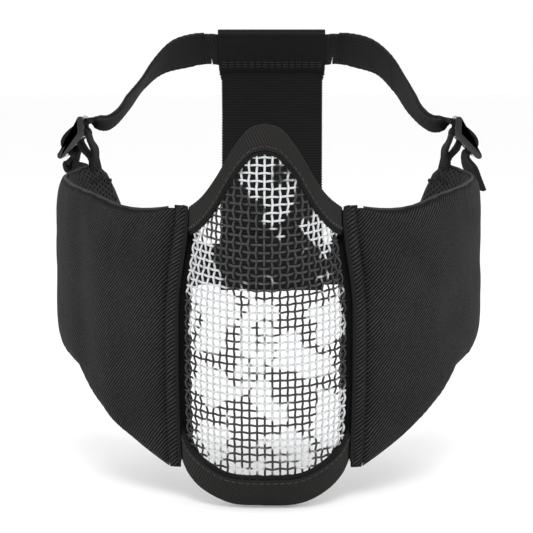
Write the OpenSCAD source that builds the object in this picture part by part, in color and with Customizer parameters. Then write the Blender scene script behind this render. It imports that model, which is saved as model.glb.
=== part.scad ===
// Half-face mask: a dished wire-mesh panel over nose and mouth, two padded cheek
// wings that fold on fabric seams, and an elastic head harness with a wide back band.
// Millimetres. +Z up, the face looks along -Y, +X is the wearer's left.
// The origin is on the wearer's mid-plane, at mouth-to-ear height, between the wings.

/* [Mesh panel] */
// Half width of the mesh panel, from the mid-plane to a fold seam
panel_half_w = 33; // [28:0.5:40]
// How far the fold seams stand in front of the origin
seam_front = 46; // [40:1:56]
// Height of the panel's top edge on the nose bridge
nose_top_z = 59.5; // [50:0.5:68]
// Height of the panel's top edge where it meets the seams
shoulder_z = 26.5; // [20:0.5:32]
// Depth of the panel's bottom edge under the chin, below the origin
chin_drop = 88; // [76:1:98]
// How far the dish stands out over the mouth
dish_depth = 27; // [20:1:34]
// How much further the nose ridge stands out
nose_depth = 13; // [8:1:18]
// Thickness of the woven wire
mesh_t = 1.2; // [0.8:0.1:1.6]

/* [Edge tape] */
// Width of the folded tape on the nose and chin edges
tape_w = 9; // [7:0.5:11]
// Thickness of one layer of tape
tape_t = 0.9; // [0.6:0.1:1.3]

/* [Cheek wings] */
// Half width of the mask across the ears
wing_half_w = 92; // [76:0.5:112]
// Angle between a wing's front edge and straight across
wing_start_deg = 20; // [12:1:28]
// Radius of the ear cup that curls behind the ear
cup_r = 40; // [32:1:48]
// How far the ear cup turns
cup_turn = 62; // [40:1:75]
// Height of the wing's top edge
wing_top_z = 27; // [22:1:32]
// Height of the rounded tab at the top of the ear cup
tab_top_z = 40.5; // [36:0.5:48]
// Depth of the wing's lower front corner, below the origin
jaw_drop = 80; // [68:1:88]
// Depth of the wing's lower edge beside the ear, below the origin
ear_drop = 33; // [26:1:40]
// Full thickness of the padding
pad_t = 8; // [6:0.5:10]
// Thickness of the padding at its sewn edge
pad_edge_t = 3.4; // [3.2:0.1:4]
// Thickness of the outer fabric
cover_t = 1; // [0.6:0.1:1.2]
// Thickness of the spacer-mesh lining
lining_t = 1.2; // [0.8:0.1:1.4]

/* [Harness] */
// Width of the strap webbing
strap_w = 20; // [15:1:25]
// Thickness of the strap webbing
strap_t = 1.5; // [1:0.1:1.8]
// Width of the back band
band_w = 50; // [40:1:62]
// Thickness of the back band
band_t = 1.6; // [1.2:0.1:2]
// Distance from the origin back to the band
band_back = 134; // [120:1:150]
// Height of the band's top edge
band_top_z = 101; // [90:1:115]
// Depth of the band's bottom edge, below the origin
band_drop = 22; // [14:1:30]
// Length of the free strap end below a buckle
tail_len = 20; // [12:1:28]

/* [Buckle] */
// Length of a ladder lock
buckle_len = 20; // [19:0.5:26]
// Thickness of a ladder lock's side rail
rail_t = 1.8; // [1.4:0.1:2.6]
// Radius of the bar that the fixed loop turns on
loop_bar_r = 1.5; // [1.2:0.1:1.8]
// Tilt of the ladder lock, outer end down
buckle_tilt = 47; // [25:1:55]
// Thickness of the fixed loop's webbing
loop_t = 1.3; // [1:0.1:1.5]

/* [Hidden] */
$fn = 32;
gap = 0.2;                 // between layers that lie on each other
fit = 0.3;                 // round webbing that runs over a bar
fabric = [0.09, 0.09, 0.095];
webbing = [0.07, 0.07, 0.07];
plastic = [0.05, 0.05, 0.055];
spacer = [0.13, 0.13, 0.135];
foam = [0.2, 0.2, 0.21];
wire = [0.5, 0.5, 0.5];
thread = [0.14, 0.14, 0.14];

// ---- curves -------------------------------------------------------------
// Value at x of a smooth curve through points [x, value]
function span(p, x, i = 0) = (i >= len(p) - 2 || x <= p[i + 1][0]) ? i : span(p, x, i + 1);
function slope(p, i) =
    let (a = max(i - 1, 0), b = min(i + 1, len(p) - 1)) (p[b][1] - p[a][1]) / (p[b][0] - p[a][0]);
function curve(p, x) =
    let (i = span(p, x), h = p[i + 1][0] - p[i][0],
         t = min(max((x - p[i][0]) / h, 0), 1),
         m0 = slope(p, i) * h, m1 = slope(p, i + 1) * h)
    (2*pow(t,3) - 3*t*t + 1) * p[i][1] + (pow(t,3) - 2*t*t + t) * m0
    + (3*t*t - 2*pow(t,3)) * p[i + 1][1] + (pow(t,3) - t*t) * m1;
function unit(v) = v / norm(v);
function flip(p) = [-p[0], p[1], p[2]];
function reversed(list) = [for (i = [len(list) - 1 : -1 : 0]) list[i]];

// ---- closed solids from rings of points -----------------------------------
// Each ring runs anticlockwise when you look along the sweep.
module skin(rings) {
    n = len(rings);
    m = len(rings[0]);
    // Quads on the ring's second half are split the other way, so that both faces of a sheet match
    sides = [for (i = [0 : n - 2], j = [0 : m - 1])
        let (a = i*m + j, b = i*m + (j + 1) % m, c = b + m, d = a + m)
        each j < m/2 ? [[a, b, c], [a, c, d]] : [[a, b, d], [b, c, d]]];
    start = [for (j = [0 : m/2 - 2])
        let (a = j, b = j + 1, c = m - 2 - j, d = m - 1 - j) each [[d, c, b], [d, b, a]]];
    end = [for (f = start) [for (k = [2 : -1 : 0]) f[k] + (n - 1)*m]];
    polyhedron(points = [for (r = rings) each r], faces = concat(sides, start, end));
}
// A ring for webbing of width w and thickness t, centred on p, running along d, with its width along v
function web_ring(p, d, v, w, t) =
    let (across = unit(v - (v * d) * d), out = cross(d, across))
    [p + out*t/2 - across*w/2, p + out*t/2 + across*w/2,
     p - out*t/2 + across*w/2, p - out*t/2 - across*w/2];
// Webbing along stations [point, width direction]
module webbing_run(stations, w, t) {
    last = len(stations) - 1;
    skin([for (i = [0 : last])
        let (d = unit(stations[min(i + 1, last)][0] - stations[max(i - 1, 0)][0]))
        web_ring(stations[i][0], d, stations[i][1], w, t)]);
}

// ---- mesh panel -----------------------------------------------------------
// Edges of the panel in front view: height of the top and bottom edge at x
top_edge = [[0, nose_top_z], [0.17*panel_half_w, nose_top_z - 2], [0.35*panel_half_w, nose_top_z - 9],
            [0.5*panel_half_w, nose_top_z - 16.5], [0.62*panel_half_w, (nose_top_z + shoulder_z)/2 - 5],
            [0.82*panel_half_w, shoulder_z + 5], [panel_half_w, shoulder_z]];
bottom_edge = [[0, -chin_drop], [0.42*panel_half_w, 1 - chin_drop], [0.75*panel_half_w, 6 - chin_drop],
               [0.92*panel_half_w, 11 - chin_drop], [panel_half_w, 16.5 - chin_drop]];
function panel_top(x) = curve(top_edge, abs(x));
function panel_bottom(x) = curve(bottom_edge, abs(x));
// The dish: how far it stands out of the seam plane at each height
side_base = [[-chin_drop, 0], [shoulder_z, 0], [nose_top_z, -12]];
dish = [[-chin_drop - 4, 0.42*dish_depth], [16 - chin_drop, 0.76*dish_depth], [-40, dish_depth],
        [0, dish_depth], [shoulder_z, 0.9*dish_depth], [nose_top_z, 0.25*dish_depth]];
ridge = [[-24, 0], [-10, 0.35*nose_depth], [7, nose_depth], [22, 0.92*nose_depth],
         [nose_top_z - 16, 0.5*nose_depth], [nose_top_z + 4, 0.1*nose_depth]];
ridge_half_w = 13;
function panel_y(x, z) =
    let (t = min(abs(x) / panel_half_w, 1))
    -seam_front + curve(side_base, z) - curve(dish, z) * pow(1 - pow(t, 2.5), 0.55)
    - curve(ridge, z) * exp(-pow(x / ridge_half_w, 2));
function panel_point(x, z) = [x, panel_y(x, z), z];
function panel_out(x, z) =
    let (e = 0.4, x0 = max(x - e, -panel_half_w), x1 = min(x + e, panel_half_w))
    unit(cross(panel_point(x1, z) - panel_point(x0, z), panel_point(x, z + e) - panel_point(x, z - e)));
function panel_offset(x, z, d) = panel_point(x, z) + d * panel_out(x, z);
panel_cols = 24;
panel_rows = 16;
module mesh_panel() {
    color(wire)
    skin([for (i = [-panel_cols/2 : panel_cols/2])
        let (x = panel_half_w * sin(90 * 2*i / panel_cols),
             low = panel_bottom(x), high = panel_top(x),
             zs = [for (k = [0 : panel_rows]) low + (high - low) * k / panel_rows])
        concat([for (z = zs) panel_offset(x, z, mesh_t/2)],
               [for (z = reversed(zs)) panel_offset(x, z, -mesh_t/2)])]);
}

// ---- tape folded over the panel's edges -------------------------------------
// A ring of folded tape at the edge point [x, z], where inward points into the panel in front view
tape_slack = 0.6;         // the tape lies loosely on the curved wire
tape_gap = mesh_t/2 + tape_slack;
tape_over = 1.6;            // how far the fold stands past the wire's cut ends
function tape_ring(edge, inward) =
    let (lap = edge + tape_w*inward, fold = edge - tape_over*inward,
         core = edge - (tape_over - tape_t)*inward, out = tape_gap + tape_t)
    [panel_offset(lap[0], lap[1], out), panel_offset(fold[0], fold[1], out),
     panel_offset(fold[0], fold[1], -out), panel_offset(lap[0], lap[1], -out),
     panel_offset(lap[0], lap[1], -tape_gap), panel_offset(core[0], core[1], -tape_gap),
     panel_offset(core[0], core[1], tape_gap), panel_offset(lap[0], lap[1], tape_gap)];
nose_reach = 0.9*panel_half_w;
chin_reach = 0.88*panel_half_w;
tape_steps = 26;
module nose_tape() {
    color(fabric)
    skin([for (i = [-tape_steps/2 : tape_steps/2])
        let (x = nose_reach * 2*i / tape_steps, e = 0.5,
             along = unit([2*e, panel_top(x + e) - panel_top(x - e)]))
        tape_ring([x, panel_top(x)], [along[1], -along[0]])]);
}
module chin_tape() {
    color(fabric)
    skin(reversed([for (i = [-tape_steps/2 : tape_steps/2])
        let (x = chin_reach * 2*i / tape_steps, e = 0.5,
             along = unit([2*e, panel_bottom(x + e) - panel_bottom(x - e)]))
        tape_ring([x, panel_bottom(x)], [-along[1], along[0]])]));
}
// Tape folded over the panel's straight side edge
side_low = 29 - chin_drop;
side_high = shoulder_z - 15.5;
side_slot_in = 2;           // the slot holds the slanting wire, so it is deeper on the inside
side_slot_out = 0.9;
side_lap = 5.5;
side_web = 1.7;             // from the wire's edge back to the tape's fold
module left_side_tape() {
    color(fabric)
    translate([panel_half_w, -seam_front, side_low])
    linear_extrude(side_high - side_low)
    difference() {
        translate([-side_slot_in - tape_t, -side_lap])
            square([side_slot_in + side_slot_out + 2*tape_t, side_lap + side_web + tape_t]);
        translate([-side_slot_in, -side_lap - 1])
            square([side_slot_in + side_slot_out, side_lap + side_web + 1]);
    }
}

// ---- cheek wing -------------------------------------------------------------
// Seen from above, a wing is two arcs: the cheek, then the cup that curls behind the ear.
wing_x0 = panel_half_w + 1;
wing_y0 = -seam_front + 0.5;
cheek_r = (wing_half_w - pad_t/2 - wing_x0) / (1 - sin(wing_start_deg));
cheek_len = cheek_r * (90 - wing_start_deg) * PI/180;
cup_len = cup_r * cup_turn * PI/180;
wing_len = cheek_len + cup_len;
wing_s0 = 5.5;              // the padding starts this far behind the seam
function wing_dir(s) = s < cheek_len ? wing_start_deg + s / cheek_r * 180/PI
                                     : 90 + (s - cheek_len) / cup_r * 180/PI;
function wing_plan(s) =
    s < cheek_len
    ? [wing_x0 + cheek_r * (sin(wing_dir(s)) - sin(wing_start_deg)),
       wing_y0 + cheek_r * (cos(wing_start_deg) - cos(wing_dir(s)))]
    : [wing_x0 + cheek_r * (1 - sin(wing_start_deg)) - cup_r * (1 - sin(wing_dir(s))),
       wing_y0 + cheek_r * cos(wing_start_deg) - cup_r * cos(wing_dir(s))];
function wing_point(s, z, d) =
    let (p = wing_plan(s), a = wing_dir(s)) [p[0] + d*sin(a), p[1] - d*cos(a), z];
wing_top = [[0, wing_top_z + 2], [0.1*cheek_len, wing_top_z + 0.5], [0.2*cheek_len, wing_top_z],
            [0.3*cheek_len, wing_top_z + 1], [0.4*cheek_len, wing_top_z + 3.5],
            [0.5*cheek_len, wing_top_z + 5.5], [0.62*cheek_len, wing_top_z + 7],
            [0.8*cheek_len, wing_top_z + 9], [cheek_len + 0.3*cup_len, tab_top_z - 2],
            [cheek_len + 0.66*cup_len, tab_top_z], [cheek_len + 0.84*cup_len, tab_top_z - 5],
            [wing_len, wing_top_z - 6]];
wing_bottom = [[0, -jaw_drop], [0.26*cheek_len, -ear_drop - 0.68*(jaw_drop - ear_drop)],
               [0.46*cheek_len, -ear_drop - 0.4*(jaw_drop - ear_drop)],
               [0.52*cheek_len, -ear_drop - 0.3*(jaw_drop - ear_drop)],
               [0.57*cheek_len, -ear_drop - 0.19*(jaw_drop - ear_drop)],
               [0.78*cheek_len, -ear_drop - 0.09*(jaw_drop - ear_drop)], [cheek_len, -ear_drop],
               [cheek_len + 0.5*cup_len, 3 - ear_drop], [cheek_len + 0.8*cup_len, 9 - ear_drop],
               [wing_len, 19 - ear_drop]];
pad_round = 13;             // the padding reaches its full thickness this far from an edge
function pad_half(s, z) =
    let (edge = min(s - wing_s0, wing_len - s, z - curve(wing_bottom, s), curve(wing_top, s) - z),
         t = min(max(edge / pad_round, 0), 1))
    pad_edge_t/2 + (pad_t - pad_edge_t)/2 * sqrt(1 - pow(1 - t, 2));
wing_cols = 22;
wing_rows = 8;
function eased(t) = (t + (1 - cos(180*t)) / 2) / 2;
// One layer of the wing, from inner to outer, each given as a share of the half thickness plus a shift
module wing_layer(in_sign, in_shift, out_sign, out_shift) {
    skin([for (i = [0 : wing_cols])
        let (s = wing_s0 + (wing_len - wing_s0) * eased(i / wing_cols),
             low = curve(wing_bottom, s), high = curve(wing_top, s),
             zs = [for (k = [0 : wing_rows]) low + (high - low) * eased(k / wing_rows)])
        concat([for (z = zs) wing_point(s, z, out_sign*pad_half(s, z) + out_shift)],
               [for (z = reversed(zs)) wing_point(s, z, in_sign*pad_half(s, z) + in_shift)])]);
}
module left_wing_cover() { color(fabric) wing_layer(1, -cover_t, 1, 0); }
module left_wing_foam() { color(foam) wing_layer(-1, lining_t + gap, 1, -cover_t - gap); }
module left_wing_lining() { color(spacer) wing_layer(-1, 0, -1, lining_t); }

// Rolled hem along the wing's front edge
roll_r = 1.3;
roll_s = 3.2;
roll_d = 1.2;
module left_edge_roll() {
    p = wing_point(roll_s, 0, roll_d);
    low = curve(wing_bottom, roll_s) + 2;
    high = curve(wing_top, roll_s) - 1;
    color(fabric) translate([p[0], p[1], low]) cylinder(r = roll_r, h = high - low);
}
// The soft hinge: a strip of tape from the panel's side tape to the wing's lining
fold_tape_t = 0.8;
module left_fold_tape() {
    near = [panel_half_w - side_slot_in - tape_t, -seam_front + side_web + tape_t + gap];
    bend = [panel_half_w + side_slot_out + tape_t + gap, near[1]];
    far = wing_point(wing_s0 - gap, 0, -pad_edge_t/2 + 0.9);
    color(webbing)
    translate([0, 0, side_low])
    linear_extrude(side_high - side_low)
    polygon([near, bend, [far[0], far[1]], [far[0] - 0.3, far[1] + fold_tape_t],
             [bend[0], bend[1] + fold_tape_t], [near[0], near[1] + fold_tape_t]]);
}

// ---- ladder lock --------------------------------------------------------------
// Its own frame: X along its length with the outer end at +X, Y across the strap, Z away from the head.
lock_slot = strap_w + 1.2;
tab_bar = [-buckle_len/2 + 1, 4.6];
loop_bar = [-4.5, 0];
grip_bar = [2.2, 0.6];
end_bar = [buckle_len/2 - 1.7, 0.3];
bar_r = 1.6;
tab_bar_r = 1.3;
rail_h = 3.4;
tooth = [0.9, 0.8, 0.75];
tooth_pitch = 2;
// The tab above the ear that the fixed loop comes out of
tab_s = cheek_len + 0.66*cup_len;
tab_point = wing_point(tab_s, tab_top_z, 0);
lock_at = [tab_point[0] + 8, tab_point[1] + 1, tab_top_z + 10.5];
module rail_outline() {
    hull() {
        translate(loop_bar) circle(r = rail_h/2);
        translate(end_bar) circle(r = rail_h/2);
    }
    hull() {
        translate(loop_bar) circle(r = rail_h/2);
        translate(tab_bar) circle(r = rail_h/2);
    }
}
module lock_bar(at, r) {
    translate([at[0], 0, at[1]]) rotate([90, 0, 0]) cylinder(r = r, h = lock_slot + rail_t, center = true);
}
module ladder_lock() {
    for (side = [-1, 1])
        translate([0, side*(lock_slot + rail_t)/2 + rail_t/2, 0])
            rotate([90, 0, 0]) linear_extrude(rail_t) rail_outline();
    lock_bar(tab_bar, tab_bar_r);
    lock_bar(loop_bar, loop_bar_r);
    lock_bar(grip_bar, bar_r);
    lock_bar(end_bar, bar_r);
    // Teeth that bite the strap
    for (y = [-lock_slot/2 + tooth_pitch : tooth_pitch : lock_slot/2 - 1.5])
        translate([grip_bar[0] + 0.2, y - tooth[1]/2, grip_bar[1] + bar_r - 0.4]) cube(tooth);
}
module left_ladder_lock() {
    color(plastic) translate(lock_at) rotate([0, buckle_tilt, 0]) ladder_lock();
}
// A point [length, height] in the lock's frame, in the part's frame
function on_lock(p) = lock_at + [p[0]*cos(buckle_tilt) + p[1]*sin(buckle_tilt), 0,
                                 p[1]*cos(buckle_tilt) - p[0]*sin(buckle_tilt)];

// ---- fixed loop of webbing that holds the lock ----------------------------------
loop_w = strap_w - 1.5;
loop_sink = 7;              // its ends are sewn this deep into the tab
loop_lie = 0.5*loop_t + 0.1; // the two ends lie back to back
loop_bow = 1;
loop_wrap_r = loop_bar_r + fit + loop_t/2;
cup_dir = wing_dir(tab_s);
tab_along = [cos(cup_dir), sin(cup_dir), 0];
module left_strap_loop() {
    centre = on_lock(loop_bar);
    wrap = [for (a = [200 : -22 : -20])
        [centre + loop_wrap_r*[cos(a), 0, sin(a)], [0, 1, 0]]];
    // A leg, from the end sewn into the tab up to the bar
    function leg(side, under) = let (
        low = wing_point(tab_s, tab_top_z - loop_sink, side*loop_lie),
        out = wing_point(tab_s, tab_top_z + 1, side*loop_lie))
        [[low, tab_along], [out, tab_along],
         [0.5*out + 0.5*under + [side*loop_bow, 0, 0], unit(tab_along + [0, 1.5, 0])],
         [0.2*out + 0.8*under + [0.3*side*loop_bow, 0, 0], [0, 1, 0]]];
    inner = leg(-1, wrap[0][0]);
    outer = leg(1, wrap[len(wrap) - 1][0]);
    color(webbing) webbing_run(concat(inner, wrap, reversed(outer)), loop_w, loop_t);
}
// Bar tacks that hold the loop's ends, through the tab
tack_w = 1.4;
tack_stand = 0.5;
tack_len = 4;
module tack(s, z, len_s) {
    p = wing_point(s, z, 0);
    h = pad_half(s, z) + tack_stand;
    translate(p) rotate([0, 0, wing_dir(s)])
        translate([-len_s/2, -h, -tack_w/2]) cube([len_s, 2*h, tack_w]);
}
module left_loop_tacks() {
    color(thread) for (ds = [-5, 0, 5]) tack(tab_s + ds, tab_top_z - 5.2 - abs(ds)*0.35, tack_len);
}

// ---- straps ---------------------------------------------------------------------
// Upper strap, left half, from the middle of the band to the free end.
hem_tilt = 48;              // the top of the band leans forward over the head
hem_along = [0, -sin(hem_tilt), cos(hem_tilt)];
hem_depth = strap_w + 4;
hem_at = [0, band_back - 9, band_top_z - 8.5];
lock_in = on_lock([-buckle_len/2 - 5.5, 0.6]);
strap_clear = 1;            // the strap leaves the hem straight for this far
hem_exit = hem_at + [band_w/2 + strap_clear, 0, 0];
// Free run from hem to lock: the share of the way from lock to hem, out, back and up, with the width's direction
run = [[[0.791, 0.937, 1.008], [-0.12, -0.75, 0.65]], [[0.579, 0.801, 0.894], [-0.3, -0.6, 0.74]],
       [[0.411, 0.619, 0.632], [-0.35, -0.65, 0.67]], [[0.284, 0.423, 0.306], [-0.4, -0.68, 0.62]],
       [[0.172, 0.219, 0.04], [-0.4, -0.7, 0.5]], [[0.072, 0.073, -0.03], [-0.25, -0.9, 0.2]]];
function share(f) = [for (k = [0 : 2]) lock_in[k] + f[k] * (hem_exit[k] - lock_in[k])];
// One smooth stretch between the stations i and i + 1, in n steps
function knot(list, i) = list[min(max(i, 0), len(list) - 1)];
function spline(a, b, c, d, t) =
    0.5 * (2*b + (c - a)*t + (2*a - 5*b + 4*c - d)*t*t + (3*b - a - 3*c + d)*t*t*t);
function smoothed(list, n) = concat(
    [for (i = [0 : len(list) - 2], k = [0 : n - 1])
        [for (part = [0, 1])
            spline(knot(list, i - 1)[part], list[i][part], list[i + 1][part], knot(list, i + 2)[part], k/n)]],
    [list[len(list) - 1]]);
// Under the tab, over the grip bar and down through the lock, each [length, height] in the lock's frame
threading = [[-buckle_len/2 - 1.5, 1.4], [-buckle_len/2 + 0.8, 2], [-6.8, 3.3], [-4.3, 4.4], [-1.5, 4.8], [1, 4.8],
             [3.2, 4.2], [4.7, 2.8], [5.3, 0.6], [5.2, -2.5]];
tail_from = on_lock(threading[len(threading) - 1]);
// The free end: how much it twists, and how far it is from the lock
tail = [[0.3, [2.2, 1, -0.28*tail_len]], [0.7, [4.2, 1.8, -0.68*tail_len]], [1, [5, 2.4, -tail_len]]];
upper_half = concat(
    [[hem_at, hem_along], [hem_at + [band_w/4, 0, 0], hem_along]],
    smoothed(concat([[hem_exit, hem_along]], [for (r = run) [share(r[0]), r[1]]],
                    [[lock_in, [0, -1, 0]]]), 3),
    [for (p = threading) [on_lock(p), [0, -1, 0]]],
    [for (q = tail) [tail_from + q[1], [0.25*q[0], -1, 0.1*q[0]]]]);
function both_halves(half) =
    concat(reversed([for (i = [1 : len(half) - 1]) [flip(half[i][0]), flip(half[i][1])]]), half);
module upper_strap() { color(webbing) webbing_run(both_halves(upper_half), strap_w, strap_t); }

// Lower strap: from the bottom hem round to the inside of each ear cup, where it is sewn on
low_hem_at = [0, band_back - 1, -band_drop + 11.5];
low_z = low_hem_at[2];
seat_s = wing_len - 9;
seat_gap = 0.7;             // between the strap's sewn end and the lining
seat_sewn = 12;             // how much of the strap lies along the cup
seat = wing_point(seat_s, low_z + 1, -pad_half(seat_s, low_z) - strap_t/2 - seat_gap);
seat_end = wing_point(seat_s - seat_sewn, low_z + 1,
                      -pad_half(seat_s - seat_sewn, low_z) - strap_t/2 - seat_gap);
seat_bow = [0.35, 0.5, 0];   // the seat follows the cup's curve
leave = wing_point(wing_len + 4, low_z + 1, -pad_half(seat_s, low_z) - strap_t/2);
lower_half = concat(
    [for (x = [0, band_w/4]) [low_hem_at + [x, 0, 0], [0, 0, 1]]],
    smoothed([[low_hem_at + [band_w/2 + strap_clear, 0, 0], [0, 0, 1]],
              [0.65*low_hem_at + 0.35*leave + [15.5, 5, 0.5], [0, 0, 1]],
              [0.3*low_hem_at + 0.7*leave + [7, 3.5, 0.8], [0, 0, 1]],
              [leave, [0, 0, 1]], [seat, [0, 0, 1]],
              [(seat + seat_end)/2 + seat_bow, [0, 0, 1]], [seat_end, [0, 0, 1]]], 3));
module lower_strap() { color(webbing) webbing_run(both_halves(lower_half), strap_w, strap_t); }
module left_lower_tacks() {
    color(thread)
    for (dz = [-7, 0, 7])
        translate([seat[0], seat[1], seat[2] + dz]) rotate([0, 0, wing_dir(seat_s)])
            translate([-tack_len/2, strap_t/2 + seat_gap, -tack_w/2]) cube([tack_len, tack_stand, tack_w]);
}

// ---- back band --------------------------------------------------------------------
tunnel_t = strap_t + 2*0.35; // the strap slides in the hem
module hem(at, along) {
    // at, along: centre and upward direction in [y, z]; a flat tube across the band
    r = (tunnel_t + band_t)/2;
    l = hem_depth/2;
    a = atan2(along[0], along[1]);
    translate([0, at[0], at[1]]) rotate([-a, 0, 0]) rotate([90, 0, 90])
    linear_extrude(band_w, center = true)
    difference() {
        union() {
            square([tunnel_t + 2*band_t, 2*l - 2*r], center = true);
            for (s = [-1, 1]) translate([0, s*(l - r)]) circle(r = r + band_t/2);
        }
        union() {
            square([tunnel_t, 2*l - 2*r], center = true);
            for (s = [-1, 1]) translate([0, s*(l - r)]) circle(r = r - band_t/2);
        }
    }
}
module back_band() {
    lower_top = [low_hem_at[1], low_hem_at[2] + hem_depth/2];
    upper_low = [hem_at[1] + sin(hem_tilt)*hem_depth/2, hem_at[2] - cos(hem_tilt)*hem_depth/2];
    zs = [for (k = [0 : 10]) lower_top[1] - 0.6 + (upper_low[1] - lower_top[1] + 1.2) * k/10];
    middle = [[lower_top[1] - 1, lower_top[0]], [lower_top[1] + 12, lower_top[0] + 1.2],
              [(lower_top[1] + upper_low[1])/2, band_back + 1.5],
              [upper_low[1] - 10, upper_low[0] + 4.5], [upper_low[1] + 1, upper_low[0] - 0.4]];
    color(webbing) {
        hem([low_hem_at[1], low_hem_at[2]], [0, 1]);
        hem([hem_at[1], hem_at[2]], [-sin(hem_tilt), cos(hem_tilt)]);
        rotate([90, 0, 90])
        linear_extrude(band_w, center = true)
        polygon(concat([for (z = zs) [curve(middle, z) + band_t/2, z]],
                       [for (z = reversed(zs)) [curve(middle, z) - band_t/2, z]]));
    }
}
// Rows of stitches that close the hems, on the side away from the head
stitch_pitch = 3.2;
stitch = [2, 0.35, 0.6];
module stitch_row(at, along, up) {
    a = atan2(along[0], along[1]);
    translate([0, at[0], at[1]]) rotate([-a, 0, 0])
    for (x = [-band_w/2 + 2 : stitch_pitch : band_w/2 - 3.5])
        translate([x, (tunnel_t + 2*band_t)/2, up]) cube(stitch);
}
module top_hem_stitches() {
    color(thread) for (up = [-hem_depth/2 + 3.4, -hem_depth/2 + 5])
        stitch_row([hem_at[1], hem_at[2]], [-sin(hem_tilt), cos(hem_tilt)], up);
}
module bottom_hem_stitches() {
    color(thread) for (up = [hem_depth/2 - 4, hem_depth/2 - 5.6])
        stitch_row([low_hem_at[1], low_hem_at[2]], [0, 1], up);
}

// ---- right-hand copies ---------------------------------------------------------------
module other_side() { mirror([1, 0, 0]) children(); }

mesh_panel();
nose_tape();
chin_tape();
left_side_tape();
other_side() left_side_tape();  // right_side_tape
left_fold_tape();
other_side() left_fold_tape();  // right_fold_tape
left_wing_cover();
other_side() left_wing_cover();  // right_wing_cover
left_wing_foam();
other_side() left_wing_foam();  // right_wing_foam
left_wing_lining();
other_side() left_wing_lining();  // right_wing_lining
left_edge_roll();
other_side() left_edge_roll();  // right_edge_roll
left_strap_loop();
other_side() left_strap_loop();  // right_strap_loop
left_loop_tacks();
other_side() left_loop_tacks();  // right_loop_tacks
left_lower_tacks();
other_side() left_lower_tacks();  // right_lower_tacks
left_ladder_lock();
other_side() left_ladder_lock();  // right_ladder_lock
upper_strap();
lower_strap();
back_band();
top_hem_stitches();
bottom_hem_stitches();
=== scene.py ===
# %% [markdown]
# # A foldable half-face mask of wire mesh and padded cloth
# The frame holds the mask as simple solids that fit and move. This notebook dresses it:
# woven wires for the dished panel, folded tape for its edges, padded wings, webbing, a wide
# elastic band and moulded buckles. Each piece goes where its plain solid is, so the first
# step is to load the frame and to keep its box, which the finished mask must stay inside.

# %% Load the frame
import bpy, math, random
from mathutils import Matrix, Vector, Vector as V, noise


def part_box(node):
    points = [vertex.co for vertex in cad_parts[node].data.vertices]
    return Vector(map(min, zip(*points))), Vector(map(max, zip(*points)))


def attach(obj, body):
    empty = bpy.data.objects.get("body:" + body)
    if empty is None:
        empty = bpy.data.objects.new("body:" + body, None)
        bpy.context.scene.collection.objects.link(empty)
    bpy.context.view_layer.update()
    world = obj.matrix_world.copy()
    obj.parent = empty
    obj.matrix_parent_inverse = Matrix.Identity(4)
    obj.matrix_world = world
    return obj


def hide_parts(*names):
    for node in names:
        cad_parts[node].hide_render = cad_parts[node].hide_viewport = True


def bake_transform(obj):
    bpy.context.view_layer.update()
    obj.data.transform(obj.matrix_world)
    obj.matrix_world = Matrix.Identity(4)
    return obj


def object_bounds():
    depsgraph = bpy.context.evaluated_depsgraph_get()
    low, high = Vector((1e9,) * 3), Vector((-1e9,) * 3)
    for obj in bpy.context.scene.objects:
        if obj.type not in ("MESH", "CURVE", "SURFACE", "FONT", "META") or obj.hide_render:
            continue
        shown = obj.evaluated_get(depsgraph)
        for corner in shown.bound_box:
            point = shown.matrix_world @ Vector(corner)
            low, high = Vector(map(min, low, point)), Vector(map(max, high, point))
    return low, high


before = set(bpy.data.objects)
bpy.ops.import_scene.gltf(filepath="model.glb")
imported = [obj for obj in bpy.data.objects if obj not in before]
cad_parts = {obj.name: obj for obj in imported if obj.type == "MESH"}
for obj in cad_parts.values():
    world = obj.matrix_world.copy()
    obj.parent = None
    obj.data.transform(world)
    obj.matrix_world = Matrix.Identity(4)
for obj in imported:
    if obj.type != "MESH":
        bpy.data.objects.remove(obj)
cad_box = [list(corner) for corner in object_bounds()]
mm = 0.001
print("frame box", cad_box)

# %% [markdown]
# ## Camera
# A mask like this is best seen from a little above, with a long lens that keeps the
# sides nearly parallel. A camera on a circle round the origin is easy to aim: its place is
# one direction times a distance, and it looks back along that direction.

# %% Camera
lens_mm = 146.4
camera_far = 0.913
camera_yaw, camera_up = math.radians(0.9), math.radians(5)
toward = V((math.sin(camera_yaw) * math.cos(camera_up), -math.cos(camera_yaw) * math.cos(camera_up),
                 math.sin(camera_up)))
camera = bpy.data.objects.new("camera", bpy.data.cameras.new("camera"))
bpy.context.scene.collection.objects.link(camera)
camera.location = toward * camera_far
camera.rotation_euler = toward.to_track_quat("Z", "Y").to_euler()
camera.data.lens = lens_mm
camera.data.sensor_width = 36
camera.data.shift_x = -0.002
camera.data.clip_end = 20
bpy.context.scene.camera = camera
print("camera at", [round(c, 3) for c in camera.location])

# %% [markdown]
# ## The panel and wings as formulas
# Every soft piece lies on one of two surfaces: the dished mesh panel, or a cheek wing that is
# two arcs seen from above. They could be sampled from the frame's solids, but those are
# faceted. The same few formulas that shaped the solids give smooth points at any fineness,
# so they are written here once, in millimetres, and every piece uses them.

# %% Shape formulas
panel_half_w, seam_front, nose_top_z, shoulder_z, chin_drop = 33, 46, 59.5, 26.5, 88
dish_depth, nose_depth, ridge_half_w = 27, 13, 13
wing_half_w, wing_start_deg, cup_r, cup_turn = 92, 20, 40, 62
wing_top_z, tab_top_z, jaw_drop, ear_drop = 27, 40.5, 80, 33
pad_t, pad_edge_t, wing_s0, pad_round = 8, 3.4, 5.5, 13
strap_w, strap_t, band_w, band_t, band_back, band_top_z, band_drop = 20, 1.5, 50, 1.6, 134, 101, 22


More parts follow.
